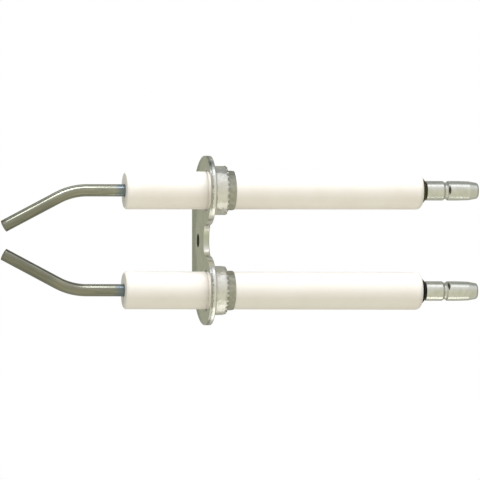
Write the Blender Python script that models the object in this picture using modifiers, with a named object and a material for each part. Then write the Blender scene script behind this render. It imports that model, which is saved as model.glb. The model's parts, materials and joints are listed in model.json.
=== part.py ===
"""A double ignition electrode for a burner: two electrodes side by side in one sheet bracket.

The origin is the centre of the bracket's fixing hole, on the plate's front face. +X runs from the
spark tips to the plug pins, +Z from the lower electrode to the upper one, and +Y from the notch in
the bracket to its straight far edge.

Lengths below are in millimetres. Every piece hangs from one empty whose scale turns them into metres.
Each electrode's pieces are modelled along the local Z axis of a second empty that lies on the
electrode's axis, with local Z = 0 at the plate's front face. The lower one is the upper one turned
half a turn about X, so the same shapes serve both and the two rods bend towards each other.
"""

import math

import bmesh
import bpy
from mathutils import Matrix

METRES_PER_MM = 0.001
SIDES = (("upper", 1.0), ("lower", -1.0))
ROUND_STEPS = 48
ROUNDING_STEPS = 4
JOIN_DISTANCE = 0.0001
FLAT_ANGLE = math.radians(0.05)
SHARP_ANGLE = math.radians(35.0)

# Electrode axes, measured from the fixing hole
AXIS_Y = -6.9
AXIS_Z = 10.2

# Clearance between pieces that touch or grip each other on the real object
GRIP_GAP = 0.05

# Ceramic tube
CERAMIC_RADIUS = 3.85
CERAMIC_FRONT = -16.55
CERAMIC_REAR = 45.3
CERAMIC_CHAMFER = 0.3
CERAMIC_ROUNDING = 1.2
CERAMIC_ROUNDING_STEPS = 6
BORE_RADIUS = 1.35
REAR_BORE_RADIUS = 1.05
BORE_STEP = 37.8

# Thin sleeve between collar and ceramic
SLEEVE_BORE = CERAMIC_RADIUS + GRIP_GAP
SLEEVE_RADIUS = SLEEVE_BORE + 0.18
SLEEVE_START = 0.6
SLEEVE_END = 6.0

# Sheet bracket with its drawn collars
SHEET = 1.25
EDGE_BEVEL = 0.12
EDGE_BEVEL_STEPS = 2
PLATE_END_RADIUS = 7.1
PLATE_SHOULDER_RADIUS = 14.2
TAB_EDGE_Y = AXIS_Y + 13.4
TAB_CORNER_RADIUS = 2.5
SHOULDER_STEPS = 8
PLATE_END_STEPS = 20
NOTCH_STEPS = 6
NOTCH_FLOOR_Y = AXIS_Y + 1.2
NOTCH_RADIUS = 4.2
NOTCH_FLANK_ANGLE = 45.0
FIXING_HOLE_RADIUS = 1.35
PUNCH_LENGTH = 4.0 * SHEET
COLLAR_BORE = SLEEVE_RADIUS + GRIP_GAP
COLLAR_RADIUS = 5.0
COLLAR_END = 4.5
COLLAR_SHOULDER = 0.55
COLLAR_ROOT = 0.4
COLLAR_SINK = SHEET / 3.0
ROOT_STEPS = 3
DRAW_IN_RADIUS = 0.8
STAKE_COUNT = 24
STAKE_RADIUS = 0.3
STAKE_SINK = 0.14
STAKE_SLOPE = math.radians(50.0)
FIRST_STAKE = 0.37

# Bent electrode rod
ROD_RADIUS = 1.25
ROD_NECK_RADIUS = 0.95
ROD_NECK_START = 37.7
ROD_REAR = 54.75
ROD_CURVE_RESOLUTION = 10
BEND_CORNER = -27.5
BEND_ANGLE = math.radians(27.6)
BEND_RADIUS = 13.0
BEND_STEPS = 8
LEG_LENGTH = 15.8

# Cupped spring washer between ceramic and plug pin
WASHER_SEAT = CERAMIC_REAR + 0.04
WASHER_HEIGHT = 0.8
WASHER_RIM_RADIUS = 2.57
WASHER_CROWN_RADIUS = 1.85
WASHER_BORE = 1.1
WASHER_THICKNESS = 0.34

# Plug pin, crimped on the rod's neck
PIN_FRONT = WASHER_SEAT + WASHER_HEIGHT + 0.03
PIN_REAR = 57.15
PIN_RADIUS = 2.0
PIN_CHAMFER = 0.1
PIN_SHOULDER = 52.75
NOSE_START = 55.15
NOSE_START_RADIUS = 1.93
NOSE_ROUNDING = 0.5
NOSE_RADIUS = 1.65
# Angle in degrees at which the nose's rounding leaves its cone
NOSE_SLOPE = 12.0
PIN_BORE = 1.0
PIN_BORE_END = 54.9
DRILL_POINT = 0.5
GROOVE_MIDDLE = 50.25
GROOVE_HALF_WIDTH = 0.55
GROOVE_FLOOR_HALF_WIDTH = 0.12
GROOVE_DEPTH = 0.3
NICK_MIDDLE = 50.95
NICK_SIDE = 1.2
NICK_LENGTH = 6.0
NICK_DEPTH = 0.34
NICK_TURN = {"upper": math.radians(-4.0), "lower": math.radians(-35.0)}

# Colour, metallic value and roughness of each material
LOOKS = {
    "bracket_steel": ((0.60, 0.60, 0.56), 1.0, 0.35),
    "rod_steel": ((0.40, 0.39, 0.33), 1.0, 0.30),
    "ceramic": ((0.86, 0.83, 0.75), 0.0, 0.50),
    "sleeve_steel": ((0.52, 0.51, 0.50), 1.0, 0.30),
    "washer_steel": ((0.05, 0.05, 0.04), 1.0, 0.40),
    "pin_steel": ((0.66, 0.66, 0.62), 1.0, 0.25),
}


def clear_scene():
    for item in list(bpy.data.objects):
        bpy.data.objects.remove(item, do_unlink=True)


def new_collection(name):
    collection = bpy.data.collections.new(name)
    bpy.context.scene.collection.children.link(collection)
    return collection


def make_material(name):
    color, metallic, roughness = LOOKS[name]
    material = bpy.data.materials.new(name)
    material.use_nodes = True
    shader = material.node_tree.nodes["Principled BSDF"]
    shader.inputs["Base Color"].default_value = (*color, 1.0)
    shader.inputs["Metallic"].default_value = metallic
    shader.inputs["Roughness"].default_value = roughness
    material.diffuse_color = (*color, 1.0)
    return material


def add_object(name, data, collection, parent=None):
    item = bpy.data.objects.new(name, data)
    collection.objects.link(item)
    item.parent = parent
    return item


def settle(item):
    """Returns the mesh that the object's curve and modifiers make, with loose caps joined on."""
    bpy.context.view_layer.update()
    evaluated = item.evaluated_get(bpy.context.evaluated_depsgraph_get())
    mesh = bpy.data.meshes.new_from_object(evaluated)
    mesh.name = item.name
    shape = bmesh.new()
    shape.from_mesh(mesh)
    bmesh.ops.remove_doubles(shape, verts=shape.verts, dist=JOIN_DISTANCE)
    bmesh.ops.dissolve_limit(shape, angle_limit=FLAT_ANGLE, verts=shape.verts, edges=shape.edges)
    shape.to_mesh(mesh)
    shape.free()
    return mesh


def finish(item, material):
    """Turns the object into a plain mesh with its material, smooth but for its sharp edges."""
    mesh = settle(item)
    mesh.materials.clear()
    mesh.materials.append(material)
    mesh.shade_smooth()
    mesh.set_sharp_from_angle(angle=SHARP_ANGLE)
    item.modifiers.clear()
    item.data = mesh


def arc(center, radius, start, end, steps):
    """Points on an arc from one angle to another, in degrees."""
    angles = [math.radians(start + (end - start) * step / steps) for step in range(steps + 1)]
    return [(center[0] + radius * math.cos(a), center[1] + radius * math.sin(a)) for a in angles]


def turned(name, profile, collection, parent, ring=False):
    """A shape turned about local Z, from (radius, z) points that run down its outer side."""
    mesh = bpy.data.meshes.new(name)
    points = [(radius, 0.0, z) for radius, z in profile]
    edges = [(i, i + 1) for i in range(len(points) - 1)]
    if ring:
        edges.append((len(points) - 1, 0))
    mesh.from_pydata(points, edges, [])
    item = add_object(name, mesh, collection, parent)
    screw = item.modifiers.new("turn", "SCREW")
    screw.steps = ROUND_STEPS
    screw.render_steps = ROUND_STEPS
    screw.use_merge_vertices = True
    screw.merge_threshold = JOIN_DISTANCE
    return item


def as_cutter(item):
    item.hide_render = True
    item.display_type = "WIRE"
    return item


def join_or_cut(item, other, operation):
    boolean = item.modifiers.new(f"{operation.lower()}_{other.name}", "BOOLEAN")
    boolean.operation = operation
    boolean.solver = "EXACT"
    boolean.object = other


def millimetre_frame(collection):
    """The empty that every piece hangs from, so that lengths can be given in millimetres."""
    frame = add_object("millimetres", None, collection)
    frame.scale = (METRES_PER_MM, METRES_PER_MM, METRES_PER_MM)
    return frame


def electrode_axis(name, side, collection, frame):
    """An empty on one electrode's axis: its local Z is the object's +X."""
    axis = add_object(f"{name}_axis", None, collection, frame)
    axis.location = (0.0, AXIS_Y, side * AXIS_Z)
    axis.rotation_euler = (side * math.pi / 2.0, 0.0, side * math.pi / 2.0)
    return axis


def notch_flank():
    """Centre and radius of the notch's upper flank: it leaves the floor's arc and touches the round end."""
    lean = math.radians(NOTCH_FLANK_ANGLE)
    behind = AXIS_Y - NOTCH_FLOOR_Y + NOTCH_RADIUS
    reach = PLATE_END_RADIUS + NOTCH_RADIUS
    slack = reach - behind * math.cos(lean) - AXIS_Z * math.sin(lean)
    shift = (reach**2 - behind**2 - AXIS_Z**2) / (2.0 * slack)
    center = (NOTCH_FLOOR_Y - NOTCH_RADIUS + shift * math.cos(lean), shift * math.sin(lean))
    return center, NOTCH_RADIUS - shift


def plate_outline():
    """The plate's outline as (y, z) points, anticlockwise from the straight edge's upper end.

    A small corner leads from the straight edge into a flat shoulder, which runs to the top of the round
    end about the collar. A tight arc on each flank leads from the round end into the notch's wide floor.
    """
    end = (AXIS_Y, AXIS_Z)
    shoulder = (AXIS_Y, AXIS_Z + PLATE_END_RADIUS - PLATE_SHOULDER_RADIUS)
    corner_y = TAB_EDGE_Y - TAB_CORNER_RADIUS
    reach = PLATE_SHOULDER_RADIUS - TAB_CORNER_RADIUS
    lean = math.acos((corner_y - AXIS_Y) / reach)
    corner = (corner_y, shoulder[1] + reach * math.sin(lean))
    notch = (NOTCH_FLOOR_Y - NOTCH_RADIUS, 0.0)
    flank, flank_radius = notch_flank()
    to_flank = math.degrees(math.atan2(flank[1] - end[1], flank[0] - end[0]))
    upper = arc(corner, TAB_CORNER_RADIUS, 0.0, math.degrees(lean), ROUNDING_STEPS)
    upper += arc(shoulder, PLATE_SHOULDER_RADIUS, math.degrees(lean), 90.0, SHOULDER_STEPS)[1:]
    upper += arc(end, PLATE_END_RADIUS, 90.0, to_flank + 360.0, PLATE_END_STEPS)[1:]
    upper += arc(flank, flank_radius, to_flank + 180.0, NOTCH_FLANK_ANGLE, ROUNDING_STEPS)[1:]
    upper += arc(notch, NOTCH_RADIUS, NOTCH_FLANK_ANGLE, 0.0, NOTCH_STEPS)[1:]
    lower = [(y, -z) for y, z in reversed(upper[:-1])]
    return upper + lower


def plate_sheet(collection, frame):
    """The flat blank, cut to its outline and with its edges slightly rolled over."""
    curve = bpy.data.curves.new("bracket", "CURVE")
    curve.dimensions = "2D"
    curve.fill_mode = "BOTH"
    curve.extrude = SHEET / 2.0
    outline = plate_outline()
    spline = curve.splines.new("POLY")
    spline.points.add(len(outline) - 1)
    for point, (y, z) in zip(spline.points, outline):
        point.co = (y, z, 0.0, 1.0)
    spline.use_cyclic_u = True
    guide = add_object("bracket_outline", curve, collection)
    sheet = add_object("bracket", settle(guide), collection, frame)
    sheet.location.x = SHEET / 2.0
    sheet.rotation_euler = (math.pi / 2.0, 0.0, math.pi / 2.0)
    bpy.data.objects.remove(guide)
    bevel = sheet.modifiers.new("rolled_edges", "BEVEL")
    bevel.width = EDGE_BEVEL
    bevel.segments = EDGE_BEVEL_STEPS
    bevel.limit_method = "ANGLE"
    bevel.angle_limit = math.radians(60.0)
    return sheet


def fixing_hole(collection, frame):
    """The punch for the fixing hole, longer than the sheet is thick."""
    shape = bmesh.new()
    bmesh.ops.create_cone(
        shape,
        cap_ends=True,
        segments=ROUND_STEPS,
        radius1=FIXING_HOLE_RADIUS,
        radius2=FIXING_HOLE_RADIUS,
        depth=PUNCH_LENGTH,
    )
    mesh = bpy.data.meshes.new("fixing_hole")
    shape.to_mesh(mesh)
    shape.free()
    punch = add_object("fixing_hole", mesh, collection, frame)
    punch.rotation_euler.y = math.pi / 2.0
    return as_cutter(punch)


def collar_body(name, collection, parent):
    """One collar's outside, solid: a rounded shoulder, a straight wall and a root flowing into the sheet."""
    shoulder = (COLLAR_RADIUS - COLLAR_SHOULDER, COLLAR_END - COLLAR_SHOULDER)
    root = (COLLAR_RADIUS + COLLAR_ROOT, SHEET + COLLAR_ROOT)
    profile = [(0.0, COLLAR_END)]
    profile += reversed(arc(shoulder, COLLAR_SHOULDER, 0.0, 90.0, ROUNDING_STEPS))
    profile += arc(root, COLLAR_ROOT, 180.0, 255.0, ROOT_STEPS)
    profile += [(root[0], COLLAR_SINK), (0.0, COLLAR_SINK)]
    return as_cutter(turned(f"collar_body_{name}", profile, collection, parent))


def collar_bore(name, collection, parent):
    """The hole through sheet and collar, with the wide round mouth that drawing leaves in front."""
    mouth = COLLAR_BORE + DRAW_IN_RADIUS
    beyond = COLLAR_END + SHEET
    profile = [(0.0, beyond), (COLLAR_BORE, beyond)]
    profile += arc((mouth, DRAW_IN_RADIUS), DRAW_IN_RADIUS, 180.0, 260.0, ROUNDING_STEPS)
    profile += [(mouth, -SHEET), (0.0, -SHEET)]
    return as_cutter(turned(f"collar_bore_{name}", profile, collection, parent))


def collar_stakes(name, collection, parent):
    """The ring of small bumps that the staking tool leaves round a collar's shoulder."""
    reach = COLLAR_SHOULDER - STAKE_SINK
    radius = COLLAR_RADIUS - COLLAR_SHOULDER + reach * math.cos(STAKE_SLOPE)
    height = COLLAR_END - COLLAR_SHOULDER + reach * math.sin(STAKE_SLOPE)
    shape = bmesh.new()
    for number in range(STAKE_COUNT):
        turn = Matrix.Rotation(2.0 * math.pi * (number + FIRST_STAKE) / STAKE_COUNT, 4, "Z")
        place = turn @ Matrix.Translation((radius, 0.0, height))
        bmesh.ops.create_icosphere(shape, subdivisions=1, radius=STAKE_RADIUS, matrix=place)
    mesh = bpy.data.meshes.new(f"collar_stakes_{name}")
    shape.to_mesh(mesh)
    shape.free()
    return as_cutter(add_object(mesh.name, mesh, collection, parent))


def build_bracket(axes, parts, cutters, frame, material):
    bracket = plate_sheet(parts, frame)
    join_or_cut(bracket, fixing_hole(cutters, frame), "DIFFERENCE")
    for name, axis in axes.items():
        join_or_cut(bracket, collar_body(name, cutters, axis), "UNION")
        join_or_cut(bracket, collar_bore(name, cutters, axis), "DIFFERENCE")
        join_or_cut(bracket, collar_stakes(name, cutters, axis), "UNION")
    finish(bracket, material)


def build_rod(name, collection, parent, material):
    """The rod from its cut tip, round the bend, through the ceramic and into the plug pin."""
    half_bend = BEND_RADIUS * math.tan(BEND_ANGLE / 2.0)
    bend_end = BEND_CORNER + half_bend
    bend_center = (-BEND_RADIUS, bend_end)
    tip = (-LEG_LENGTH * math.sin(BEND_ANGLE), BEND_CORNER - LEG_LENGTH * math.cos(BEND_ANGLE))
    bend = arc(bend_center, BEND_RADIUS, -math.degrees(BEND_ANGLE), 0.0, BEND_STEPS)
    route = [(y, z, ROD_RADIUS) for y, z in [tip, *bend, (0.0, ROD_NECK_START - GRIP_GAP)]]
    route += [(0.0, ROD_NECK_START, ROD_NECK_RADIUS), (0.0, ROD_REAR, ROD_NECK_RADIUS)]
    curve = bpy.data.curves.new(f"electrode_rod_{name}", "CURVE")
    curve.dimensions = "3D"
    curve.bevel_depth = ROD_RADIUS
    curve.bevel_resolution = ROD_CURVE_RESOLUTION
    curve.use_fill_caps = True
    spline = curve.splines.new("POLY")
    spline.points.add(len(route) - 1)
    for point, (y, z, radius) in zip(spline.points, route):
        point.co = (0.0, y, z, 1.0)
        point.radius = radius / ROD_RADIUS
    guide = add_object("rod_route", curve, collection, parent)
    rod = add_object(f"electrode_rod_{name}", settle(guide), collection, parent)
    bpy.data.objects.remove(guide)
    finish(rod, material)


def build_insulator(name, collection, parent, material):
    """The ceramic tube: sharp-edged in front, well rounded behind, with a stepped bore for the rod."""
    rounding = (CERAMIC_RADIUS - CERAMIC_ROUNDING, CERAMIC_REAR - CERAMIC_ROUNDING)
    profile = [(REAR_BORE_RADIUS, CERAMIC_REAR)]
    profile += reversed(arc(rounding, CERAMIC_ROUNDING, 0.0, 90.0, CERAMIC_ROUNDING_STEPS))
    profile += [
        (CERAMIC_RADIUS, CERAMIC_FRONT + CERAMIC_CHAMFER),
        (CERAMIC_RADIUS - CERAMIC_CHAMFER, CERAMIC_FRONT),
        (BORE_RADIUS, CERAMIC_FRONT),
        (BORE_RADIUS, BORE_STEP),
        (REAR_BORE_RADIUS, BORE_STEP),
    ]
    finish(turned(f"insulator_{name}", profile, collection, parent, ring=True), material)


def build_sleeve(name, collection, parent, material):
    profile = [
        (SLEEVE_BORE, SLEEVE_END),
        (SLEEVE_RADIUS, SLEEVE_END),
        (SLEEVE_RADIUS, SLEEVE_START),
        (SLEEVE_BORE, SLEEVE_START),
    ]
    finish(turned(f"clamp_sleeve_{name}", profile, collection, parent, ring=True), material)


def build_washer(name, collection, parent, material):
    """The washer: a flat crown against the pin and a skirt that flares down to the ceramic."""
    crown = WASHER_SEAT + WASHER_HEIGHT
    profile = [
        (WASHER_BORE, crown),
        (WASHER_CROWN_RADIUS, crown),
        (WASHER_RIM_RADIUS, WASHER_SEAT + WASHER_THICKNESS / 2.0),
        (WASHER_RIM_RADIUS - WASHER_THICKNESS / 2.0, WASHER_SEAT),
        (WASHER_CROWN_RADIUS - WASHER_THICKNESS / 4.0, crown - WASHER_THICKNESS),
        (WASHER_BORE, crown - WASHER_THICKNESS),
    ]
    finish(turned(f"spring_washer_{name}", profile, collection, parent, ring=True), material)


def crimp_nicks(name, collection, parent):
    """Two straight nicks across opposite sides of the pin, each cut by the edge of a square bar."""
    shape = bmesh.new()
    size = Matrix.Diagonal((NICK_SIDE, NICK_LENGTH, NICK_SIDE, 1.0))
    edge_on = Matrix.Rotation(math.pi / 4.0, 4, "Y")
    reach = PIN_RADIUS - NICK_DEPTH + NICK_SIDE / math.sqrt(2.0)
    for turn in (0.0, math.pi):
        place = Matrix.Rotation(turn, 4, "Z") @ Matrix.Translation((reach, 0.0, NICK_MIDDLE))
        bmesh.ops.create_cube(shape, size=1.0, matrix=place @ edge_on @ size)
    mesh = bpy.data.meshes.new(f"crimp_nicks_{name}")
    shape.to_mesh(mesh)
    shape.free()
    nicks = add_object(mesh.name, mesh, collection, parent)
    nicks.rotation_euler.z = NICK_TURN[name]
    return as_cutter(nicks)


def build_pin(name, parts, cutters, parent, material):
    """The plug pin: a tapered nose, a waist, the crimp groove and a blind bore for the rod's neck."""
    nose = (NOSE_RADIUS - NOSE_ROUNDING, PIN_REAR - NOSE_ROUNDING)
    profile = [(0.0, PIN_REAR)]
    profile += reversed(arc(nose, NOSE_ROUNDING, NOSE_SLOPE, 90.0, ROUNDING_STEPS))
    profile += [
        (NOSE_START_RADIUS, NOSE_START),
        (PIN_RADIUS, PIN_SHOULDER),
        (PIN_RADIUS, GROOVE_MIDDLE + GROOVE_HALF_WIDTH),
        (PIN_RADIUS - GROOVE_DEPTH, GROOVE_MIDDLE + GROOVE_FLOOR_HALF_WIDTH),
        (PIN_RADIUS - GROOVE_DEPTH, GROOVE_MIDDLE - GROOVE_FLOOR_HALF_WIDTH),
        (PIN_RADIUS, GROOVE_MIDDLE - GROOVE_HALF_WIDTH),
        (PIN_RADIUS, PIN_FRONT + PIN_CHAMFER),
        (PIN_RADIUS - PIN_CHAMFER, PIN_FRONT),
        (PIN_BORE, PIN_FRONT),
        (PIN_BORE, PIN_BORE_END),
        (0.0, PIN_BORE_END + DRILL_POINT),
    ]
    pin = turned(f"terminal_pin_{name}", profile, parts, parent)
    join_or_cut(pin, crimp_nicks(name, cutters, parent), "DIFFERENCE")
    finish(pin, material)


def main():
    clear_scene()
    parts = new_collection("ignition_electrode")
    cutters = new_collection("cutters")
    materials = {name: make_material(name) for name in LOOKS}
    frame = millimetre_frame(parts)
    axes = {name: electrode_axis(name, side, parts, frame) for name, side in SIDES}
    build_bracket(axes, parts, cutters, frame, materials["bracket_steel"])
    for name, axis in axes.items():
        build_rod(name, parts, axis, materials["rod_steel"])
        build_insulator(name, parts, axis, materials["ceramic"])
        build_sleeve(name, parts, axis, materials["sleeve_steel"])
        build_washer(name, parts, axis, materials["washer_steel"])
        build_pin(name, parts, cutters, axis, materials["pin_steel"])


main()
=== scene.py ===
"""Looks for the double ignition electrode: finer pieces, materials, studio and camera.

Every piece is built here in millimetres, in the part's own frame, and turned into metres when it is
placed. The origin is the fixing hole on the bracket's front face, +X runs from the spark tips to the
plug pins and +Z from the lower electrode to the upper one. The pieces of one electrode are built along
local Z with Z = 0 at the bracket's front face, and `electrode_matrix` lays them on their axis.
"""

import json
import math
import random

import bmesh
import bpy
from mathutils import Matrix, Vector, noise

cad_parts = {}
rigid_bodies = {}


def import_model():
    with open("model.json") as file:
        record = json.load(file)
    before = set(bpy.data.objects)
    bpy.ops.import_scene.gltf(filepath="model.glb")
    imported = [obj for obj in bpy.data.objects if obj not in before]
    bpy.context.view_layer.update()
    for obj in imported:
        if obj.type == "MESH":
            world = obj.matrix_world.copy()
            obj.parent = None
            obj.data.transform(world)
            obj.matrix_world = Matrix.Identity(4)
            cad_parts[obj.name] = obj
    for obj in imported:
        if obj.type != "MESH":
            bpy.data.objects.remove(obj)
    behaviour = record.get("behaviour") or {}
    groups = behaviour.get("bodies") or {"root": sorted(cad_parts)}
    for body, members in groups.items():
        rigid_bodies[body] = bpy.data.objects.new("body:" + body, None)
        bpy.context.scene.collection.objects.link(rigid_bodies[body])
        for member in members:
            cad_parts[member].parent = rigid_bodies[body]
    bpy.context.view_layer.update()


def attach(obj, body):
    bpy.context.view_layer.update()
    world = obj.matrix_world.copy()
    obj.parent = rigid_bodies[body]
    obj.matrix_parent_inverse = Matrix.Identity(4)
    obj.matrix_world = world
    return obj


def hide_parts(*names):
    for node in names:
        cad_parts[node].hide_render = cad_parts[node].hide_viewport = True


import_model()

METRES_PER_MM = 0.001
SIDES = (("upper", 1.0), ("lower", -1.0))
AXIS_Y = -6.9
AXIS_Z = 10.2
SHARP_ANGLE = math.radians(40.0)
# Points on the full circle of a turned piece
TUBE_STEPS = 96
SLEEVE_STEPS = 192
WASHER_STEPS = 64
PIN_STEPS = 120
HOLE_STEPS = 64
COLLAR_STEPS = 288
ROD_STEPS = 48
# Points along each arc
CERAMIC_ROUNDING_STEPS = 12
BEND_STEPS = 24
NOSE_STEPS = 8
TAB_CORNER_STEPS = 16
PLATE_SHOULDER_STEPS = 48
PLATE_END_STEPS = 72
NOTCH_FLANK_STEPS = 12
NOTCH_STEPS = 20
COLLAR_ROOT_STEPS = 8
COLLAR_SHOULDER_STEPS = 12
DRAW_IN_STEPS = 12

# Ceramic tube
CERAMIC_RADIUS = 3.85
CERAMIC_FRONT = -16.55
CERAMIC_REAR = 45.3
CERAMIC_CHAMFER = 0.3
CERAMIC_ROUNDING = 1.2
CERAMIC_BORE = 1.37
CERAMIC_REAR_BORE = 1.1
CERAMIC_BORE_STEP = 37.8

# Thin sleeve
SLEEVE_BORE = 3.9
SLEEVE_RADIUS = 4.08
SLEEVE_START = 0.6
SLEEVE_END = 6.0
SLEEVE_RIM = 0.05
SLEEVE_SPACING = 0.15
SLEEVE_LIP = 0.35
SLEEVE_CRUMPLE = 0.09
CRUMPLE_START = 4.5
# Noise cells round the sleeve's radius, and along each millimetre of it
CRUMPLE_CELLS_ROUND = 4.0
CRUMPLE_CELLS_ALONG = 1.5

# Bracket
SHEET = 1.25
PLATE_END_RADIUS = 7.08
PLATE_SHOULDER_RADIUS = 14.2
TAB_EDGE_Y = AXIS_Y + 13.4
TAB_CORNER_RADIUS = 2.5
NOTCH_FLOOR_Y = AXIS_Y + 1.2
NOTCH_RADIUS = 4.2
NOTCH_FLANK_ANGLE = 45.0
OUTLINE_SPACING = 0.3
EDGE_SPACING = 0.12
FIXING_HOLE_RADIUS = 1.35
COLLAR_BORE = 4.13
COLLAR_RADIUS = 5.0
COLLAR_ROOT = 0.4
COLLAR_END = 4.4
COLLAR_SHOULDER = {"upper": 0.55, "lower": 0.95}
COLLAR_DENT = 0.06
DENT_CELLS_ROUND = 1.6
DENT_CELLS_ALONG = 0.5
# Where in the noise field each collar's dents are read
DENT_PLACE = {"upper": 3.0, "lower": 9.0}
STAKE_COUNT = 27
STAKE_HEIGHT = 0.24
STAKE_SPREAD = 0.22
# The bumps' ring lies this share of the shoulder's size inside the collar's outer corner
STAKE_INSET = 0.35
# Staking leaves the bore's edge as it is up to this far outside the bore
STAKE_MARGIN = 0.15
# How far one bump reaches, as a turn about the collar's axis
STAKE_REACH = 0.15
# How far a bump may be off its even place, as a share of the spacing, and the bumps' relative sizes
STAKE_JITTER = 0.14
STAKE_SIZES = (0.8, 1.1)
# Painted shade between the staking bumps: how far it spreads off their ring, and its strength
STAKE_SHADE_SPREAD = 0.3
STAKE_SHADE = 0.6
DRAW_IN_RADIUS = 0.8

# How the lower electrode sits in its collar: turned a little about Y, and pushed forward
LOWER_TILT = math.radians(0.2)
LOWER_TILT_CENTER = Vector((3.0, AXIS_Y, -AXIS_Z))
LOWER_SHIFT = -0.15

# Rod
ROD_RADIUS = 1.25
ROD_NECK_RADIUS = 0.95
ROD_NECK_START = 37.7
ROD_NECK_SLOPE = 0.2
ROD_REAR = 54.75
BEND_CORNER = -27.5
BEND_ANGLE = math.radians(27.6)
BEND_RADIUS = 13.0
LEG_LENGTH = {"upper": 15.8, "lower": 15.68}
ROD_SPACING = 1.0
# Cut edge of the tip: how far inside the rod's radius, and how far behind the cut
TIP_EDGE = ((0.09, 0.0), (0.02, 0.025), (0.0, 0.1))
# Run of wire from the cut tip to where the heat tint by the ceramic begins
HEAT_TINT_START = 24.0

# Washer
WASHER_SEAT = 45.34
WASHER_HEIGHT = 0.8
WASHER_RIM_RADIUS = 2.57
WASHER_CROWN_RADIUS = 1.85
WASHER_BORE = 1.1
WASHER_THICKNESS = 0.34

# Plug pin
PIN_FRONT = 46.17
PIN_REAR = 57.145
PIN_RADIUS = 2.0
PIN_SHOULDER = 52.75
NOSE_START = 55.15
NOSE_START_RADIUS = 1.93
NOSE_RADIUS = 1.65
NOSE_ROUNDING = 0.5
# Angle, in degrees, at which the nose's cone meets the rounding of its end
NOSE_SLOPE = 12.0
PIN_BORE = 1.0
PIN_BORE_END = 54.9
GROOVE_MIDDLE = 50.25
GROOVE_HALF_WIDTH = 0.55
GROOVE_FLOOR_HALF_WIDTH = 0.12
GROOVE_DEPTH = 0.3
NICK_MIDDLE = 50.95
NICK_DEPTH = 0.34
# Smallest cosine to a nick's middle at which the pin's surface is still reshaped
NICK_EDGE = 0.2
PIN_SPACING = 0.08
PIN_CHAMFER = 0.1
NICK_TURN = {"upper": math.radians(-4.0), "lower": math.radians(-35.0)}

# Camera
CAMERA_AZIMUTH = math.radians(-11.25)
CAMERA_DISTANCE = 1600.0
CAMERA_TARGET = Vector((7.4, AXIS_Y, 0.1))
FRAME_WIDTH = 97.96
SENSOR_WIDTH = 36.0

# Floor
FLOOR_RADIUS = 200.0
FLOOR_STEPS = 96
FLOOR_PLACE = Vector((7.6, 0.0, -62.0))

# Panels mirrored only by the pieces whose names start as given: name, middle, length along X, width,
# radiance, colour and start of the pieces' names
PANELS = (
    ("key_tips", (-44.0, AXIS_Y - 131.5, 269.6), 192.0, 73.0, 5.0, (0.90, 0.94, 1.0), "electrode_wire"),
    ("rim_tips", (-44.0, AXIS_Y + 98.0, 284.0), 192.0, 90.0, 0.9, (0.94, 0.97, 1.0), "electrode_wire"),
    ("key_leg", (185.0, AXIS_Y - 80.0, 269.6), 60.0, 150.0, 0.45, (0.94, 0.97, 1.0), "electrode_wire"),
    ("key_collars", (65.0, AXIS_Y - 131.5, 269.6), 24.0, 73.0, 2.0, (0.94, 0.97, 1.0), "pressed_bracket"),
    ("key_pins", (116.0, AXIS_Y - 131.5, 269.6), 74.0, 73.0, 1.7, (0.88, 0.94, 1.0), "plug_pin"),
    ("low_collars", (32.0, AXIS_Y - 12.0, -120.0), 44.0, 112.0, 0.6, (1.0, 0.98, 0.96), "pressed_bracket"),
    ("low_pins", (56.0, AXIS_Y + 2.0, -120.0), 68.0, 42.0, 1.5, (1.0, 0.98, 0.93), "plug_pin"),
)
PANEL_AIM = Vector((0.0, AXIS_Y, 0.0))
# Energy that a panel of one square metre needs to look about as bright as a room band of one
ENERGY_PER_RADIANCE = 4.0
# Fills seen only by the ceramic: name, angle up from straight in front, strength and colour
FILLS = (
    ("upper_fill", 78.0, 2.9, (0.94, 0.98, 1.0)),
    ("front_fill", -25.0, 0.40, (1.0, 0.92, 0.82)),
    ("lower_fill", -88.0, 2.4, (1.0, 1.0, 0.98)),
)
FILL_SPREAD = math.radians(40.0)
# Bands of light round the object's long axis: angle up from straight in front, and colour
ROOM_BANDS = (
    (-180.0, (0.365, 0.38, 0.29)),
    (-150.0, (0.40, 0.40, 0.34)),
    (-125.0, (0.56, 0.56, 0.49)),
    (-100.0, (0.62, 0.62, 0.55)),
    (-55.0, (0.72, 0.72, 0.58)),
    (-25.0, (0.72, 0.72, 0.58)),
    (0.0, (0.74, 0.73, 0.63)),
    (25.0, (0.80, 0.80, 0.76)),
    (45.0, (0.95, 0.95, 0.95)),
    (76.0, (0.80, 0.82, 0.84)),
    (90.0, (0.42, 0.45, 0.44)),
    (98.0, (0.23, 0.25, 0.25)),
    (112.0, (0.23, 0.25, 0.25)),
    (125.0, (0.62, 0.63, 0.58)),
    (138.0, (0.36, 0.37, 0.34)),
    (180.0, (0.365, 0.38, 0.29)),
)


# ---------------------------------------------------------------- geometry helpers


def arc(center, radius, start, end, steps):
    """Points on an arc from one angle to another, in degrees."""
    angles = [math.radians(start + (end - start) * step / steps) for step in range(steps + 1)]
    return [(center[0] + radius * math.cos(a), center[1] + radius * math.sin(a)) for a in angles]


def subdivided(profile, longest):
    """The profile with its long straight runs split, so that surface detail has points to move."""
    points = [profile[0]]
    for end in profile[1:]:
        start = points[-1]
        length = math.dist(start, end)
        parts = max(1, math.ceil(length / longest))
        for part in range(1, parts + 1):
            share = part / parts
            points.append(tuple(a + (b - a) * share for a, b in zip(start, end)))
    return points


def noise_place(along, angle, cells_round):
    """A place in the noise field that goes round with the angle, so the noise closes on itself."""
    return Vector((cells_round * math.cos(angle), cells_round * math.sin(angle), along))


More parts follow.
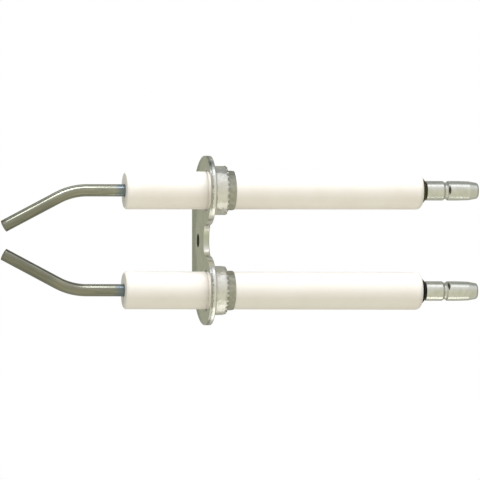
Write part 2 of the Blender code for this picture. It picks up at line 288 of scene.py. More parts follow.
def collar_matrix(side):
    """Lays local Z on the axis of a collar, pointing to +X."""
    turn = Matrix.Rotation(side * math.pi / 2.0, 4, "Z") @ Matrix.Rotation(side * math.pi / 2.0, 4, "X")
    return Matrix.Translation((0.0, AXIS_Y, side * AXIS_Z)) @ turn


def electrode_matrix(side):
    """Lays local Z on the axis of an electrode. The lower one sits slightly askew in its collar."""
    if side > 0.0:
        return collar_matrix(side)
    out = Matrix.Translation(LOWER_TILT_CENTER)
    tilt = out @ Matrix.Rotation(LOWER_TILT, 4, "Y") @ out.inverted()
    return tilt @ Matrix.Translation((LOWER_SHIFT, 0.0, 0.0)) @ collar_matrix(side)


def revolve(shape, profile, steps, move=None, closed=False):
    """Turns (radius, z) points about Z into quads. `move` may shift a point, given radius, z and angle."""
    rings = []
    for radius, z in profile:
        if radius == 0.0:
            rings.append([shape.verts.new((0.0, 0.0, z))])
            continue
        ring = []
        for step in range(steps):
            angle = 2.0 * math.pi * step / steps
            r, height = move(radius, z, angle) if move else (radius, z)
            ring.append(shape.verts.new((r * math.cos(angle), r * math.sin(angle), height)))
        rings.append(ring)
    pairs = list(zip(rings, rings[1:]))
    if closed:
        pairs.append((rings[-1], rings[0]))
    for first, second in pairs:
        for step in range(steps):
            after = (step + 1) % steps
            corners = [first[step % len(first)], first[after % len(first)]]
            corners += [second[after % len(second)], second[step % len(second)]]
            unique = list(dict.fromkeys(corners))
            if len(unique) > 2:
                shape.faces.new(unique)
    return rings


def make_piece(name, shape, matrix, material, replaced):
    """Puts the shape in the frame as a finished piece that stands for the CAD node."""
    bmesh.ops.recalc_face_normals(shape, faces=shape.faces)
    mesh = bpy.data.meshes.new(name)
    shape.to_mesh(mesh)
    shape.free()
    mesh.transform(Matrix.Scale(METRES_PER_MM, 4) @ matrix)
    mesh.materials.append(material)
    mesh.shade_smooth()
    mesh.set_sharp_from_angle(angle=SHARP_ANGLE)
    piece = bpy.data.objects.new(name, mesh)
    bpy.context.scene.collection.objects.link(piece)
    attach(piece, "root")
    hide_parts(replaced)


# ---------------------------------------------------------------- pieces


def build_insulator(name, side, material):
    """The ceramic tube, with a narrower bore behind the rod's swaged stop and a rounded rear end."""
    rounding = (CERAMIC_RADIUS - CERAMIC_ROUNDING, CERAMIC_REAR - CERAMIC_ROUNDING)
    profile = [(CERAMIC_REAR_BORE, CERAMIC_REAR)]
    profile += reversed(arc(rounding, CERAMIC_ROUNDING, 0.0, 90.0, CERAMIC_ROUNDING_STEPS))
    profile += [
        (CERAMIC_RADIUS, CERAMIC_FRONT + CERAMIC_CHAMFER),
        (CERAMIC_RADIUS - CERAMIC_CHAMFER, CERAMIC_FRONT),
        (CERAMIC_BORE, CERAMIC_FRONT),
        (CERAMIC_BORE, CERAMIC_BORE_STEP),
        (CERAMIC_REAR_BORE, CERAMIC_BORE_STEP),
    ]
    shape = bmesh.new()
    revolve(shape, profile, TUBE_STEPS, closed=True)
    matrix = electrode_matrix(side)
    make_piece(f"ceramic_tube_{name}", shape, matrix, material, f"insulator_{name}")


def build_sleeve(name, side, material):
    """The thin sleeve, slightly crumpled where it stands out of the collar."""

    def crumpled(radius, z, angle):
        if z < CRUMPLE_START or radius < SLEEVE_RADIUS - SLEEVE_RIM:
            return radius, z
        place = noise_place(z * CRUMPLE_CELLS_ALONG, angle, CRUMPLE_CELLS_ROUND)
        return radius - SLEEVE_CRUMPLE * (0.5 + 0.5 * noise.noise(place)), z

    profile = [(SLEEVE_BORE, SLEEVE_START), (SLEEVE_BORE, SLEEVE_END - SLEEVE_RIM)]
    profile += [(SLEEVE_BORE + SLEEVE_RIM, SLEEVE_END), (SLEEVE_RADIUS - 2.0 * SLEEVE_RIM, SLEEVE_END)]
    outside = [
        (SLEEVE_RADIUS - SLEEVE_RIM, SLEEVE_END - SLEEVE_RIM),
        (SLEEVE_RADIUS, SLEEVE_END - SLEEVE_LIP),
        (SLEEVE_RADIUS, SLEEVE_START),
    ]
    profile += subdivided(outside, SLEEVE_SPACING)
    shape = bmesh.new()
    revolve(shape, profile, SLEEVE_STEPS, move=crumpled, closed=True)
    matrix = electrode_matrix(side)
    make_piece(f"thin_sleeve_{name}", shape, matrix, material, f"clamp_sleeve_{name}")


def build_rod(name, side, material):
    """The rod, swept along its route, with a broken edge at the cut tip."""
    half_bend = BEND_RADIUS * math.tan(BEND_ANGLE / 2.0)
    bend_center = (-BEND_RADIUS, BEND_CORNER + half_bend)
    leg = LEG_LENGTH[name]
    tip = (-leg * math.sin(BEND_ANGLE), BEND_CORNER - leg * math.cos(BEND_ANGLE))
    bend = arc(bend_center, BEND_RADIUS, -math.degrees(BEND_ANGLE), 0.0, BEND_STEPS)
    route = subdivided([tip, bend[0]], ROD_SPACING) + bend[1:]
    route += [(0.0, ROD_NECK_START - ROD_NECK_SLOPE), (0.0, ROD_NECK_START), (0.0, ROD_REAR)]
    shape = bmesh.new()
    grain = shape.verts.layers.float_vector.new("grain")
    rings = []
    run = 0.0
    for number, (y, z) in enumerate(route):
        before = Vector(route[max(number - 1, 0)])
        after = Vector(route[min(number + 1, len(route) - 1)])
        along = (after - before).normalized()
        across = Vector((along.y, -along.x))
        radius = ROD_RADIUS if z < ROD_NECK_START else ROD_NECK_RADIUS
        run += math.dist(route[max(number - 1, 0)], (y, z))
        sections = TIP_EDGE if number == 0 else ((0.0, 0.0),)
        for inside, step_in in sections:
            r = radius - inside
            ring = []
            for step in range(ROD_STEPS):
                angle = 2.0 * math.pi * step / ROD_STEPS
                flat = Vector((y, z)) + along * step_in + across * r * math.sin(angle)
                vertex = shape.verts.new((r * math.cos(angle), flat.x, flat.y))
                vertex[grain] = (math.cos(angle), math.sin(angle), run + step_in)
                ring.append(vertex)
            rings.append(ring)
    bridge(shape, rings)
    shape.faces.new(rings[0])
    shape.faces.new(rings[-1])
    matrix = electrode_matrix(side)
    make_piece(f"electrode_wire_{name}", shape, matrix, material, f"electrode_rod_{name}")


def build_washer(name, side, material):
    """The cupped washer: a flat crown round the rod, sloping out to a rim that lies on the ceramic."""
    crown = WASHER_SEAT + WASHER_HEIGHT
    profile = [
        (WASHER_BORE, crown - 0.04),
        (WASHER_BORE + 0.04, crown),
        (WASHER_CROWN_RADIUS - 0.06, crown),
        (WASHER_CROWN_RADIUS + 0.04, crown - 0.03),
        (WASHER_RIM_RADIUS - 0.03, WASHER_SEAT + WASHER_THICKNESS / 2.0 + 0.04),
        (WASHER_RIM_RADIUS, WASHER_SEAT + WASHER_THICKNESS / 2.0 - 0.02),
        (WASHER_RIM_RADIUS - WASHER_THICKNESS / 4.0, WASHER_SEAT + 0.02),
        (WASHER_RIM_RADIUS - WASHER_THICKNESS / 2.0, WASHER_SEAT),
        (WASHER_CROWN_RADIUS - WASHER_THICKNESS / 4.0, crown - WASHER_THICKNESS),
        (WASHER_BORE, crown - WASHER_THICKNESS),
    ]
    shape = bmesh.new()
    revolve(shape, profile, WASHER_STEPS, closed=True)
    matrix = electrode_matrix(side)
    make_piece(f"cupped_washer_{name}", shape, matrix, material, f"spring_washer_{name}")


def build_pin(name, side, material):
    """The plug pin, closed at its nose. "hollow" marks how deep a point lies in a nick."""
    turn = NICK_TURN[name]

    def nicked(radius, z, angle):
        """The two V-shaped nicks are cut straight across the pin, on opposite sides of it."""
        facing = abs(math.cos(angle - turn))
        if radius <= PIN_BORE or facing < NICK_EDGE:
            return radius, z
        floor = PIN_RADIUS - NICK_DEPTH + abs(z - NICK_MIDDLE)
        return min(radius, floor / facing), z

    nose = (NOSE_RADIUS - NOSE_ROUNDING, PIN_REAR - NOSE_ROUNDING)
    outside = list(reversed(arc(nose, NOSE_ROUNDING, NOSE_SLOPE, 90.0, NOSE_STEPS)))
    outside += [
        (NOSE_START_RADIUS, NOSE_START),
        (PIN_RADIUS, PIN_SHOULDER),
        (PIN_RADIUS, GROOVE_MIDDLE + GROOVE_HALF_WIDTH),
        (PIN_RADIUS - GROOVE_DEPTH, GROOVE_MIDDLE + GROOVE_FLOOR_HALF_WIDTH),
        (PIN_RADIUS - GROOVE_DEPTH, GROOVE_MIDDLE - GROOVE_FLOOR_HALF_WIDTH),
        (PIN_RADIUS, GROOVE_MIDDLE - GROOVE_HALF_WIDTH),
        (PIN_RADIUS, PIN_FRONT + PIN_CHAMFER),
        (PIN_RADIUS - PIN_CHAMFER, PIN_FRONT),
    ]
    profile = [(0.0, PIN_REAR)] + subdivided(outside, PIN_SPACING)
    profile += [(PIN_BORE, PIN_FRONT), (PIN_BORE, PIN_BORE_END), (0.0, PIN_BORE_END + 0.5)]
    shape = bmesh.new()
    revolve(shape, profile, PIN_STEPS, move=nicked)
    hollow = shape.verts.layers.float.new("hollow")
    for vertex in shape.verts:
        sunk = PIN_RADIUS - vertex.co.xy.length
        if abs(vertex.co.z - NICK_MIDDLE) < NICK_DEPTH and sunk < 2.0 * NICK_DEPTH:
            vertex[hollow] = min(1.0, max(0.0, sunk / NICK_DEPTH))
    matrix = electrode_matrix(side)
    make_piece(f"plug_pin_{name}", shape, matrix, material, f"terminal_pin_{name}")


# ---------------------------------------------------------------- bracket


def notch_flank():
    """Centre and radius of the notch's upper flank: it leaves the floor's arc and touches the round end."""
    lean = math.radians(NOTCH_FLANK_ANGLE)
    behind = AXIS_Y - NOTCH_FLOOR_Y + NOTCH_RADIUS
    reach = PLATE_END_RADIUS + NOTCH_RADIUS
    slack = reach - behind * math.cos(lean) - AXIS_Z * math.sin(lean)
    shift = (reach**2 - behind**2 - AXIS_Z**2) / (2.0 * slack)
    center = (NOTCH_FLOOR_Y - NOTCH_RADIUS + shift * math.cos(lean), shift * math.sin(lean))
    return center, NOTCH_RADIUS - shift


def plate_outline(spacing):
    """The plate's outline as evenly spread (y, z) points, from the straight edge's upper end."""
    end = (AXIS_Y, AXIS_Z)
    shoulder = (AXIS_Y, AXIS_Z + PLATE_END_RADIUS - PLATE_SHOULDER_RADIUS)
    corner_y = TAB_EDGE_Y - TAB_CORNER_RADIUS
    reach = PLATE_SHOULDER_RADIUS - TAB_CORNER_RADIUS
    lean = math.acos((corner_y - AXIS_Y) / reach)
    corner = (corner_y, shoulder[1] + reach * math.sin(lean))
    notch = (NOTCH_FLOOR_Y - NOTCH_RADIUS, 0.0)
    flank, flank_radius = notch_flank()
    to_flank = math.degrees(math.atan2(flank[1] - end[1], flank[0] - end[0]))
    upper = arc(corner, TAB_CORNER_RADIUS, 0.0, math.degrees(lean), TAB_CORNER_STEPS)
    upper += arc(shoulder, PLATE_SHOULDER_RADIUS, math.degrees(lean), 90.0, PLATE_SHOULDER_STEPS)[1:]
    upper += arc(end, PLATE_END_RADIUS, 90.0, to_flank + 360.0, PLATE_END_STEPS)[1:]
    upper += arc(flank, flank_radius, to_flank + 180.0, NOTCH_FLANK_ANGLE, NOTCH_FLANK_STEPS)[1:]
    upper += arc(notch, NOTCH_RADIUS, NOTCH_FLANK_ANGLE, 0.0, NOTCH_STEPS)[1:]
    lower = [(y, -z) for y, z in reversed(upper[:-1])]
    return subdivided(upper + lower, spacing)


def inset(outline, distance):
    """The closed outline moved inwards. It runs anticlockwise, so inwards is to the left."""
    moved = []
    count = len(outline)
    for number, point in enumerate(outline):
        before = Vector(outline[number - 1])
        after = Vector(outline[(number + 1) % count])
        along = (after - before).normalized()
        moved.append((point[0] - along.y * distance, point[1] + along.x * distance))
    return moved


def bridge(shape, loops):
    """Joins each closed loop to the next one with a band of quads."""
    for first, second in zip(loops, loops[1:]):
        count = len(first)
        for number in range(count):
            after = (number + 1) % count
            shape.faces.new((first[number], first[after], second[after], second[number]))


def fill(shape, loops):
    """Fills the flat area between an outer loop and the loops inside it."""
    edges = []
    for loop in loops:
        for number, vertex in enumerate(loop):
            edges.append(shape.edges.get((vertex, loop[(number + 1) % len(loop)])))
    bmesh.ops.triangle_fill(shape, use_beauty=True, use_dissolve=False, edges=edges)


def collar_profile(name):
    """From the back of the sheet, over the collar, through its bore to the draw-in in front."""
    end = COLLAR_END
    shoulder = COLLAR_SHOULDER[name]
    wall = COLLAR_RADIUS
    root = (wall + COLLAR_ROOT, SHEET + COLLAR_ROOT)
    draw_in = (COLLAR_BORE + DRAW_IN_RADIUS, DRAW_IN_RADIUS)
    profile = arc(root, COLLAR_ROOT, 270.0, 180.0, COLLAR_ROOT_STEPS)
    profile += arc((wall - shoulder, end - shoulder), shoulder, 0.0, 90.0, COLLAR_SHOULDER_STEPS)
    profile += [(COLLAR_BORE, end), (COLLAR_BORE, DRAW_IN_RADIUS)]
    profile += arc(draw_in, DRAW_IN_RADIUS, 180.0, 270.0, DRAW_IN_STEPS)[1:]
    return subdivided(profile, EDGE_SPACING)


def stake_pattern(name):
    """Returns how far a point of one collar stands on a staking bump, and how near it is to their ring."""
    chance = random.Random(f"stakes {name}")
    shoulder = COLLAR_SHOULDER[name]
    middle = Vector((COLLAR_RADIUS - STAKE_INSET * shoulder, COLLAR_END - STAKE_INSET * shoulder))
    marks = []
    for number in range(STAKE_COUNT):
        turn = 2.0 * math.pi * (number + chance.uniform(-STAKE_JITTER, STAKE_JITTER)) / STAKE_COUNT
        marks.append((turn, chance.uniform(*STAKE_SIZES)))

    def pattern(radius, z, angle):
        off_ring = (Vector((radius, z)) - middle).length
        share = 0.0
        for turn, size in marks:
            swing = (angle - turn + math.pi) % (2.0 * math.pi) - math.pi
            if abs(swing) < STAKE_REACH:
                gap = math.hypot(swing * COLLAR_RADIUS, off_ring)
                share += size * math.exp(-((gap / STAKE_SPREAD) ** 2))
        return share, math.exp(-((off_ring / STAKE_SHADE_SPREAD) ** 2))

    return pattern


def staking(name):
    """How the staking tool left one collar: a small bump at each mark, and shallow dents on the wall."""
    shoulder = COLLAR_SHOULDER[name]
    round_center = Vector((COLLAR_RADIUS - shoulder, COLLAR_END - shoulder))
    pattern = stake_pattern(name)

    def staked(radius, z, angle):
        if z < SHEET + COLLAR_ROOT or radius < COLLAR_BORE + STAKE_MARGIN:
            return radius, z
        place = noise_place(DENT_CELLS_ALONG * z + DENT_PLACE[name], angle, DENT_CELLS_ROUND)
        radius -= COLLAR_DENT * max(0.0, noise.noise(place)) * min(1.0, z - SHEET - COLLAR_ROOT)
        lift = STAKE_HEIGHT * pattern(radius, z, angle)[0]
        out = (Vector((radius, z)) - round_center).normalized() * lift
        return radius + out.x, z + out.y

    return staked


def build_plate_edge(shape):
    """The plate's edge, rounded over at the back. Returns its loops, from the front one to the back one."""
    punched = shape.verts.layers.float["punched"]
    outline = plate_outline(OUTLINE_SPACING)
    edge = [(0.03, 0.0), (0.0, 0.02), (0.0, 1.05), (0.02, 1.15), (0.07, 1.22), (0.15, SHEET)]
    loops = []
    for distance, x in subdivided(edge, EDGE_SPACING):
        ring = []
        for y, z in inset(outline, distance):
            vertex = shape.verts.new((x, y, z))
            vertex[punched] = 1.0 if distance < edge[0][0] else 0.0
            ring.append(vertex)
        loops.append(ring)
    bridge(shape, loops)
    return loops


def build_fixing_hole(shape):
    """The hole's wall, slightly broken at both faces. Returns its rings, from front to back."""
    wall = [(FIXING_HOLE_RADIUS + 0.04, 0.0), (FIXING_HOLE_RADIUS, 0.06)]
    wall += [(FIXING_HOLE_RADIUS, SHEET - 0.1), (FIXING_HOLE_RADIUS + 0.1, SHEET)]
    rings = revolve(shape, wall, HOLE_STEPS)
    swap = Matrix(((0, 0, 1), (1, 0, 0), (0, 1, 0)))
    for ring in rings:
        bmesh.ops.transform(shape, matrix=swap.to_4x4(), verts=ring)
    return rings


def build_collar(shape, name, side):
    """One collar with its staking marks. Returns its rings, from the sheet's back to its front."""
    dirt = shape.verts.layers.float["dirt"]
    rings = revolve(shape, collar_profile(name), COLLAR_STEPS, move=staking(name))
    pattern = stake_pattern(name)
    for ring in rings:
        for vertex in ring:
            radius = vertex.co.xy.length
            if radius > COLLAR_BORE + STAKE_MARGIN and vertex.co.z > SHEET + COLLAR_ROOT:
                angle = math.atan2(vertex.co.y, vertex.co.x)
                share, nearness = pattern(radius, vertex.co.z, angle)
                # Between the bumps, near their ring, the surface gets painted shade
                vertex[dirt] = STAKE_SHADE * nearness * max(0.0, 1.0 - 2.0 * share)
        bmesh.ops.transform(shape, matrix=collar_matrix(side), verts=ring)
    return rings


def build_bracket(material):
    """The pressed sheet. One attribute marks the painted shade between the stakes, and "punched" the
    sheared edge.
    """
    shape = bmesh.new()
    for layer in ("dirt", "punched"):
        shape.verts.layers.float.new(layer)
    loops = build_plate_edge(shape)
    front, back = [loops[0]], [loops[-1]]
    rings = build_fixing_hole(shape)
    front.append(rings[0])
    back.append(rings[-1])
    for name, side in SIDES:
        rings = build_collar(shape, name, side)
        back.append(rings[0])
        front.append(rings[-1])
    fill(shape, front)
    fill(shape, back)
    make_piece("pressed_bracket", shape, Matrix.Identity(4), material, "bracket")


# ---------------------------------------------------------------- materials


class Graph:
    """A node tree that is written as nested calls: inputs take values or other nodes' outputs."""

    def __init__(self, tree):
        self.tree = tree

    def add(self, kind, inputs=(), **settings):
        node = self.tree.nodes.new(kind)
        for key, value in settings.items():
            setattr(node, key, value)
        for key, value in dict(inputs).items():
            if isinstance(value, bpy.types.NodeSocket):
                self.tree.links.new(value, node.inputs[key])
            else:
                node.inputs[key].default_value = value
        return node

    def math(self, operation, *values):
        return self.add("ShaderNodeMath", dict(enumerate(values)), operation=operation).outputs[0]

    def mix(self, factor, first, second, blend="MIX"):
        node = self.add("ShaderNodeMix", {"Factor": factor}, data_type="RGBA", blend_type=blend)
        for key, value in ((6, first), (7, second)):
            if isinstance(value, bpy.types.NodeSocket):
                self.tree.links.new(value, node.inputs[key])
            else:
                node.inputs[key].default_value = (*value, 1.0)
        return node.outputs[2]

    def noise(self, vector, scale, detail=3.0, roughness=0.5):
        inputs = {"Vector": vector, "Scale": scale, "Detail": detail, "Roughness": roughness}
        return self.add("ShaderNodeTexNoise", inputs).outputs["Fac"]

    def fit(self, value, low, high, to_low=0.0, to_high=1.0, kind="LINEAR"):
        inputs = {"Value": value, "From Min": low, "From Max": high, "To Min": to_low, "To Max": to_high}
        return self.add("ShaderNodeMapRange", inputs, interpolation_type=kind).outputs[0]

    def ramp(self, value, stops):
        node = self.add("ShaderNodeValToRGB", {"Fac": value})
        elements = node.color_ramp.elements
        while len(elements) > 1:
            elements.remove(elements[-1])
        elements[0].position = stops[0][0]
        elements[0].color = (*stops[0][1], 1.0)
        for position, color in stops[1:]:
            elements.new(position).color = (*color, 1.0)
        return node.outputs["Color"]

    def bump(self, height, strength, distance, normal=None):
        """A bump whose full height is `distance` millimetres."""
        inputs = {"Height": height, "Strength": strength, "Distance": distance * METRES_PER_MM}
        if normal is not None:
            inputs["Normal"] = normal
        return self.add("ShaderNodeBump", inputs).outputs["Normal"]


def new_material(name, metallic):
    material = bpy.data.materials.new(name)
    material.use_nodes = True
    graph = Graph(material.node_tree)
    shader = material.node_tree.nodes["Principled BSDF"]
    shader.inputs["Metallic"].default_value = metallic
    return material, graph, shader


def millimetres(graph, stretch=(1.0, 1.0, 1.0)):
    """Object coordinates in millimetres, stretched along each axis."""
    coordinates = graph.add("ShaderNodeTexCoord").outputs["Object"]
    scale = [factor / METRES_PER_MM for factor in stretch]
    inputs = {0: coordinates, 1: scale}
    return graph.add("ShaderNodeVectorMath", inputs, operation="MULTIPLY").outputs[0]


def connect(graph, shader, **sockets):
    """Links a node's output to each named input of the shader."""
    names = {"color": "Base Color", "roughness": "Roughness", "normal": "Normal"}
    for key, socket in sockets.items():
        graph.tree.links.new(socket, shader.inputs[names[key]])


def ceramic_material():
    material, graph, shader = new_material("white_ceramic", 0.0)
    place = millimetres(graph)
    clouds = graph.noise(place, 0.16, 4.0, 0.6)
    color = graph.mix(graph.fit(clouds, 0.35, 0.7), (0.96, 0.91, 0.88), (0.93, 0.87, 0.83))
    specks = graph.fit(graph.noise(place, 3.1, 1.0), 0.74, 0.82)
    color = graph.mix(graph.math("MULTIPLY", specks, 0.5), color, (0.62, 0.56, 0.47))
    roughness = graph.fit(graph.noise(place, 0.7), 0.3, 0.7, 0.42, 0.58)
    grain = graph.bump(graph.noise(place, 9.0, 3.0), 0.12, 0.04)
    connect(graph, shader, color=color, roughness=roughness, normal=grain)
    return material


def bracket_material():
    material, graph, shader = new_material("bracket_zinc", 1.0)
    place = millimetres(graph)
    parts = graph.add("ShaderNodeSeparateXYZ", {0: place}).outputs
    clouds = graph.noise(place, 0.6, 5.0, 0.6)
    color = graph.mix(graph.fit(clouds, 0.3, 0.7), (0.88, 0.87, 0.82), (0.78, 0.76, 0.70))
    roughness = graph.fit(graph.noise(place, 1.4), 0.3, 0.7, 0.28, 0.40)
    polish = graph.fit(parts["X"], 0.02, 0.08, 0.55, 1.0)
    roughness = graph.math("MULTIPLY", roughness, polish)
    # The punched edge is smooth; in the middle of the notch, between the two electrodes, it is darkened as
    # painted shade
    punched = graph.add("ShaderNodeAttribute", attribute_name="punched").outputs["Fac"]
    roughness = graph.math("MULTIPLY", roughness, graph.fit(punched, 0.0, 1.0, 1.0, 0.6))
    from_middle = graph.math("ABSOLUTE", parts["Z"])
    notch_shade = graph.math("MULTIPLY", punched, graph.fit(from_middle, 2.0, 0.9))
    color = graph.mix(notch_shade, color, (0.60, 0.62, 0.53))
    # At each end the edge is torn and dark in front, with a bright sheared band behind
    torn_noise = graph.noise(millimetres(graph, (3.0, 1.0, 1.0)), 2.6, 4.0, 0.7)
    ends = graph.math("MULTIPLY", punched, graph.fit(from_middle, 5.0, 6.5))
    depth = graph.math("ADD", parts["X"], graph.fit(torn_noise, 0.3, 0.7, -0.25, 0.25))
    torn = graph.math("MULTIPLY", graph.fit(depth, -0.1, 0.05), graph.fit(depth, 0.62, 0.5))
    torn = graph.math("MULTIPLY", torn, ends)
    torn_color = graph.mix(graph.fit(torn_noise, 0.4, 0.62), (0.22, 0.23, 0.21), (0.66, 0.66, 0.62))
    color = graph.mix(torn, color, torn_color)
    # Painted shade in the corner where the collar rises from the sheet
    root = graph.math("MULTIPLY", graph.fit(parts["X"], 1.16, 1.27), graph.fit(parts["X"], 1.62, 1.45))
    root = graph.math("MULTIPLY", root, graph.fit(clouds, 0.3, 0.6, 0.5, 0.85))
    color = graph.mix(root, color, (0.20, 0.21, 0.19))
    # Painted shade between the staking bumps near their ring
    dirt = graph.add("ShaderNodeAttribute", attribute_name="dirt").outputs["Fac"]
    color = graph.mix(dirt, color, (0.24, 0.24, 0.20))
    # The fixing hole's wall is painted dull and dark, as painted shade inside the hole
    from_hole = graph.add("ShaderNodeVectorMath", {0: place, 1: (0.0, 1.0, 1.0)}, operation="MULTIPLY")
    from_hole = graph.add("ShaderNodeVectorMath", {0: from_hole.outputs[0]}, operation="LENGTH")
    wall = graph.fit(from_hole.outputs["Value"], FIXING_HOLE_RADIUS + 0.06, FIXING_HOLE_RADIUS + 0.02)
    color = graph.mix(wall, color, (0.07, 0.07, 0.055))
    height = graph.math("ADD", graph.noise(place, 6.0, 4.0), graph.math("MULTIPLY", torn, torn_noise))
    grain = graph.bump(height, 0.25, 0.05)
    # Drawing and staking left the collars' walls uneven
    lumps = graph.math("MULTIPLY", graph.noise(place, 0.85, 2.0), graph.fit(parts["X"], 1.4, 1.9))
    grain = graph.bump(lumps, 0.6, 0.4, grain)
    connect(graph, shader, color=color, roughness=roughness, normal=grain)
    return material


def rod_material(name, painted_shade):
    """Drawn heat-resistant steel: streaks along the wire, burnt tips, a blue tint beside the ceramic."""
    material, graph, shader = new_material(f"electrode_steel_{name}", 1.0)
    grain = graph.add("ShaderNodeAttribute", attribute_name="grain").outputs["Vector"]
    along = graph.add("ShaderNodeSeparateXYZ", {0: grain}).outputs["Z"]
    stretched = graph.add("ShaderNodeVectorMath", {0: grain, 1: (5.0, 5.0, 0.22)}, operation="MULTIPLY")
    streaks = graph.noise(stretched.outputs[0], 1.0, 4.0, 0.6)
    patches = graph.noise(millimetres(graph), 0.35, 3.0, 0.6)
    tones = ((0.42, 0.42, 0.34), (0.26, 0.26, 0.20), (0.42, 0.37, 0.27))
    # A factor below one darkens this copy of the steel as painted shade
    light, dark, brown = ([painted_shade * channel for channel in tone] for tone in tones)
    color = graph.mix(graph.fit(streaks, 0.3, 0.7), light, dark)
    color = graph.mix(graph.fit(patches, 0.45, 0.75, 0.0, 0.5), color, brown)
    leg = LEG_LENGTH[name]
    burnt = graph.fit(along, leg - 2.0, leg - 6.0, 0.0, 0.35, "SMOOTHSTEP")
    color = graph.mix(burnt, color, (0.16, 0.16, 0.13))
    near = graph.math("ADD", along, graph.fit(streaks, 0.3, 0.7, -0.6, 0.6))
    blue = graph.fit(near, HEAT_TINT_START, HEAT_TINT_START + 2.0, 0.0, 0.85, "SMOOTHSTEP")
    color = graph.mix(blue, color, (0.17, 0.22, 0.26))
    roughness = graph.fit(streaks, 0.3, 0.7, 0.17, 0.25)
    lines = graph.bump(streaks, 0.2, 0.03)
    connect(graph, shader, color=color, roughness=roughness, normal=lines)
    return material


def sleeve_material():
    material, graph, shader = new_material("sleeve_steel", 1.0)
    place = millimetres(graph)
    clouds = graph.noise(place, 1.1, 5.0, 0.6)
    color = graph.mix(graph.fit(clouds, 0.3, 0.7), (0.56, 0.56, 0.49), (0.44, 0.44, 0.36))
    roughness = graph.fit(clouds, 0.3, 0.7, 0.45, 0.6)
    wrinkles = graph.noise(millimetres(graph, (0.5, 1.0, 1.0)), 1.5, 3.0)
    grain = graph.bump(wrinkles, 0.7, 0.4)
    connect(graph, shader, color=color, roughness=roughness, normal=grain)
    return material


def washer_material(name, light, dark):
    material, graph, shader = new_material(f"washer_{name}", 1.0)
    clouds = graph.noise(millimetres(graph), 1.8, 4.0)
    color = graph.mix(graph.fit(clouds, 0.3, 0.7), light, dark)
    roughness = graph.fit(clouds, 0.3, 0.7, 0.3, 0.5)
    grain = graph.bump(clouds, 0.1, 0.05)
    connect(graph, shader, color=color, roughness=roughness, normal=grain)
    return material


def pin_material():
    material, graph, shader = new_material("pin_nickel", 1.0)
    rings = graph.noise(millimetres(graph, (14.0, 0.3, 0.3)), 1.0, 3.0)
    clouds = graph.noise(millimetres(graph), 1.3, 4.0)
    color = graph.mix(graph.fit(clouds, 0.3, 0.7), (0.78, 0.78, 0.73), (0.68, 0.68, 0.62))
    # Deep in the nicks the pin is painted near black, as painted shade
    hollow = graph.add("ShaderNodeAttribute", attribute_name="hollow").outputs["Fac"]
    color = graph.mix(graph.fit(hollow, 0.1, 0.45, 0.0, 0.9), color, (0.09, 0.09, 0.07))
    roughness = graph.fit(rings, 0.3, 0.7, 0.30, 0.38)
    turned = graph.bump(rings, 0.15, 0.02)
    connect(graph, shader, color=color, roughness=roughness, normal=turned)
    return material


# ---------------------------------------------------------------- studio


def build_world():
    """A soft studio: the bands of light for the object, and plain white for the camera."""
    world = bpy.data.worlds.new("studio")
    bpy.context.scene.world = world
    world.use_nodes = True
    tree = world.node_tree
    tree.nodes.clear()
    graph = Graph(tree)
    direction = graph.add("ShaderNodeTexCoord").outputs["Generated"]
    parts = graph.add("ShaderNodeSeparateXYZ", {0: direction}).outputs
    toward = graph.math("MULTIPLY", parts["Y"], -1.0)
    turn = graph.math("ARCTAN2", parts["Z"], toward)
    around = graph.math("DIVIDE", turn, 2.0 * math.pi)
    around = graph.math("ADD", around, 0.5)
    stops = [(angle / 360.0 + 0.5, color) for angle, color in ROOM_BANDS]
    room = graph.ramp(around, stops)
    # The room falls off towards the plug pins' end
    strength = graph.fit(parts["X"], 0.5, 0.85, 1.0, 0.55, "SMOOTHSTEP")
    room_light = graph.add("ShaderNodeBackground", {"Color": room, "Strength": strength})
    white = graph.add("ShaderNodeBackground", {"Color": (1.0, 1.0, 1.0, 1.0), "Strength": 1.0})
    seen = graph.add("ShaderNodeLightPath").outputs["Is Camera Ray"]
    mixed = graph.add("ShaderNodeMixShader", {0: seen, 1: room_light.outputs[0], 2: white.outputs[0]})
    output = graph.add("ShaderNodeOutputWorld")
    tree.links.new(mixed.outputs[0], output.inputs["Surface"])


def build_lamps():
    """Soft panels, each mirrored only by its own metal pieces, and fills that light the ceramic."""
    for name, middle, length, width, radiance, color, name_start in PANELS:
        panel = bpy.data.lights.new(name, "AREA")
        panel.shape = "RECTANGLE"
        panel.size = length * METRES_PER_MM
        panel.size_y = width * METRES_PER_MM
        panel.energy = radiance * ENERGY_PER_RADIANCE * panel.size * panel.size_y
        panel.color = color
        toward = PANEL_AIM - Vector(middle)
        lean = math.atan2(toward.y, -toward.z)
        lamp = add_lamp(panel, Vector(middle) * METRES_PER_MM, lean)
        lamp.visible_diffuse = False
        receivers = bpy.data.collections.new(f"{name}_receivers")
        for piece in bpy.context.scene.objects:
            if piece.name.startswith(name_start):
                receivers.objects.link(piece)
        lamp.light_linking.receiver_collection = receivers
    for name, angle, strength, color in FILLS:
        fill = bpy.data.lights.new(name, "SUN")
        fill.angle = FILL_SPREAD
        fill.energy = strength
        fill.color = color
        lamp = add_lamp(fill, Vector((0.0, 0.0, 0.0)), math.radians(90.0 - angle))
        lamp.visible_glossy = False


def add_lamp(light, place, lean):
    """Adds the lamp shining straight down, then leant about X to shine from the front."""
    lamp = bpy.data.objects.new(light.name, light)
    bpy.context.scene.collection.objects.link(lamp)
    lamp.location = place
    lamp.rotation_euler.x = lean
    lamp.visible_camera = False
    return lamp


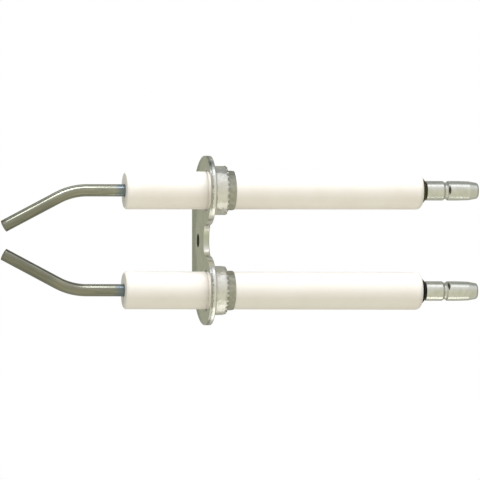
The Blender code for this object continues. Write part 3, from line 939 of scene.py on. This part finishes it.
def build_floor():
    """A plain pale disc under the object, which only the camera sees."""
    shape = bmesh.new()
    radius = FLOOR_RADIUS * METRES_PER_MM
    bmesh.ops.create_circle(shape, cap_ends=True, segments=FLOOR_STEPS, radius=radius)
    mesh = bpy.data.meshes.new("floor")
    shape.to_mesh(mesh)
    shape.free()
    material, graph, shader = new_material("floor_white", 0.0)
    clouds = graph.noise(millimetres(graph), 0.05)
    connect(graph, shader, color=graph.mix(clouds, (0.95, 0.95, 0.95), (0.93, 0.93, 0.93)))
    shader.inputs["Roughness"].default_value = 0.9
    mesh.materials.append(material)
    floor = bpy.data.objects.new("floor", mesh)
    floor.location = FLOOR_PLACE * METRES_PER_MM
    bpy.context.scene.collection.objects.link(floor)
    floor.visible_glossy = False
    floor.visible_diffuse = False


def build_camera():
    """A long lens on the level of the part's middle, turned a little towards the spark tips."""
    camera_data = bpy.data.cameras.new("camera")
    camera_data.sensor_width = SENSOR_WIDTH
    camera_data.lens = SENSOR_WIDTH * CAMERA_DISTANCE / FRAME_WIDTH
    camera_data.clip_start = 0.1
    camera_data.clip_end = 10.0
    camera = bpy.data.objects.new("camera", camera_data)
    bpy.context.scene.collection.objects.link(camera)
    back = Vector((math.sin(CAMERA_AZIMUTH), -math.cos(CAMERA_AZIMUTH), 0.0))
    camera.location = (CAMERA_TARGET + back * CAMERA_DISTANCE) * METRES_PER_MM
    camera.rotation_euler = back.to_track_quat("Z", "Y").to_euler()
    bpy.context.scene.camera = camera


def main():
    bracket_steel = bracket_material()
    # The lower rod's steel is a darker copy, as painted shade
    rods = {"upper": rod_material("upper", 1.0), "lower": rod_material("lower", 0.86)}
    ceramic = ceramic_material()
    sleeve_steel = sleeve_material()
    pin_steel = pin_material()
    # The washers are one dark part; the upper copy's lighter olive tone is a painted sheen
    washers = {
        "upper": washer_material("upper", (0.16, 0.15, 0.06), (0.07, 0.065, 0.03)),
        "lower": washer_material("lower", (0.035, 0.035, 0.035), (0.02, 0.02, 0.02)),
    }
    build_bracket(bracket_steel)
    for name, side in SIDES:
        build_insulator(name, side, ceramic)
        build_sleeve(name, side, sleeve_steel)
        build_rod(name, side, rods[name])
        build_washer(name, side, washers[name])
        build_pin(name, side, pin_steel)
    build_world()
    build_lamps()
    build_floor()
    build_camera()
    bpy.context.scene.view_settings.view_transform = "Standard"


main()
